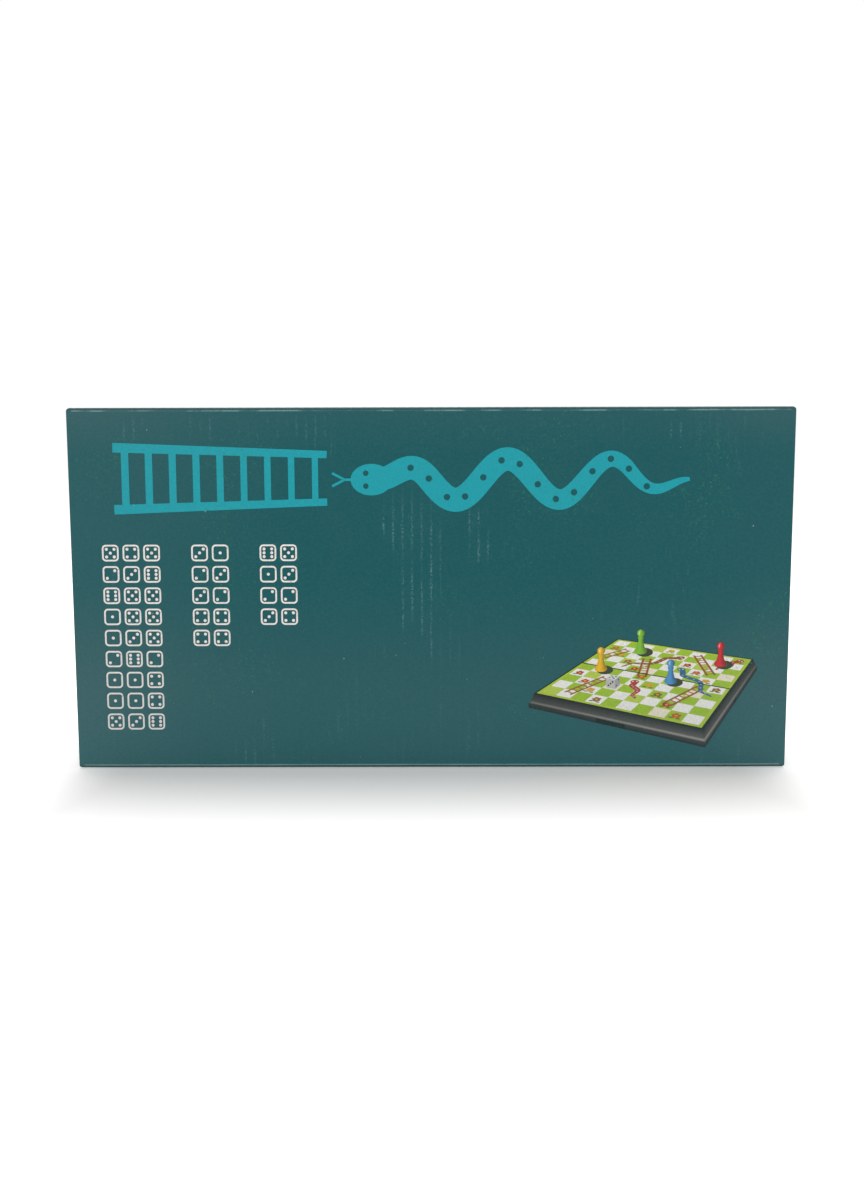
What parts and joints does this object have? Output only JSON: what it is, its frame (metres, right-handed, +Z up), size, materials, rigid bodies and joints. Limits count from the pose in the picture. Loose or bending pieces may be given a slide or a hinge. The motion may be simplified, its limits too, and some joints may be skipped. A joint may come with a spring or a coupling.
{
  "type": "boxed snakes and ladders set",
  "caption": "Corrugated tuck-end carton standing on its long edge, with hinged end lids and dust flaps, holding a folded magnetic game board with pawns and a die.",
  "frame": {"origin": "middle of the carton's underside", "axes": "+X along the carton's length to the right as seen from the front, +Z up, the printed front faces -Y"},
  "size_m": [0.258, 0.0468, 0.1305],
  "materials": {
    "printed_board": "satin printed",
    "plain_board": "bare liner",
    "black_plastic": "moulded",
    "steel": "bright",
    "play_paper": "printed",
    "red_plastic": "moulded",
    "yellow_plastic": "moulded",
    "blue_plastic": "moulded",
    "green_plastic": "moulded",
    "magnet": "bare ferrite",
    "white_plastic": "moulded"
  },
  "bodies": {
    "carton": {"front_panel": "printed_board", "top_panel": "printed_board", "back_panel": "printed_board", "bottom_panel": "printed_board", "seam_tab": "plain_board", "front_half_shell": "black_plastic", "back_half_shell": "black_plastic", "front_steel_plate": "steel", "back_steel_plate": "steel", "front_play_sheet": "play_paper", "back_play_sheet": "play_paper", "hinge_pins": "steel", "red_pawn": "red_plastic", "yellow_pawn": "yellow_plastic", "blue_pawn": "blue_plastic", "green_pawn": "green_plastic", "pawn_magnets": "magnet", "die": "white_plastic"},
    "right_lid": {"right_lid": "printed_board"},
    "right_tuck": {"right_tuck": "printed_board"},
    "right_dust_top": {"right_dust_top": "printed_board"},
    "right_dust_bottom": {"right_dust_bottom": "printed_board"},
    "left_lid": {"left_lid": "printed_board"},
    "left_tuck": {"left_tuck": "printed_board"},
    "left_dust_top": {"left_dust_top": "printed_board"},
    "left_dust_bottom": {"left_dust_bottom": "printed_board"}
  },
  "joints": [
    {"name": "right_lid_hinge", "type": "hinge", "parent": "carton", "child": "right_lid", "pos_m": [0.12825, 0.02265, 0.06525], "axis": [0, 0, 1], "range_deg": [0, 180]},
    {"name": "right_tuck_crease", "type": "hinge", "parent": "right_lid", "child": "right_tuck", "pos_m": [0.12825, -0.0209, 0.06525], "axis": [0, 0, 1], "range_deg": [0, 27]},
    {"name": "right_dust_top_crease", "type": "hinge", "parent": "carton", "child": "right_dust_top", "pos_m": [0.1265, 0, 0.12975], "axis": [0, -1, 0], "range_deg": [0, 90]},
    {"name": "right_dust_bottom_crease", "type": "hinge", "parent": "carton", "child": "right_dust_bottom", "pos_m": [0.1265, 0, 0.00075], "axis": [0, 1, 0], "range_deg": [0, 90]},
    {"name": "left_lid_hinge", "type": "hinge", "parent": "carton", "child": "left_lid", "pos_m": [-0.12825, 0.02265, 0.06525], "axis": [0, 0, -1], "range_deg": [0, 180]},
    {"name": "left_tuck_crease", "type": "hinge", "parent": "left_lid", "child": "left_tuck", "pos_m": [-0.12825, -0.0209, 0.06525], "axis": [0, 0, -1], "range_deg": [0, 27]},
    {"name": "left_dust_top_crease", "type": "hinge", "parent": "carton", "child": "left_dust_top", "pos_m": [-0.1265, 0, 0.12975], "axis": [0, 1, 0], "range_deg": [0, 90]},
    {"name": "left_dust_bottom_crease", "type": "hinge", "parent": "carton", "child": "left_dust_bottom", "pos_m": [-0.1265, 0, 0.00075], "axis": [0, -1, 0], "range_deg": [0, 90]}
  ],
  "couplings": [
    {"joint": "right_tuck_crease", "follows": "right_lid_hinge", "ratio": 0.15},
    {"joint": "right_dust_top_crease", "follows": "right_lid_hinge", "ratio": 0.5},
    {"joint": "right_dust_bottom_crease", "follows": "right_lid_hinge", "ratio": 0.5},
    {"joint": "left_tuck_crease", "follows": "left_lid_hinge", "ratio": 0.15},
    {"joint": "left_dust_top_crease", "follows": "left_lid_hinge", "ratio": 0.5},
    {"joint": "left_dust_bottom_crease", "follows": "left_lid_hinge", "ratio": 0.5}
  ]
}
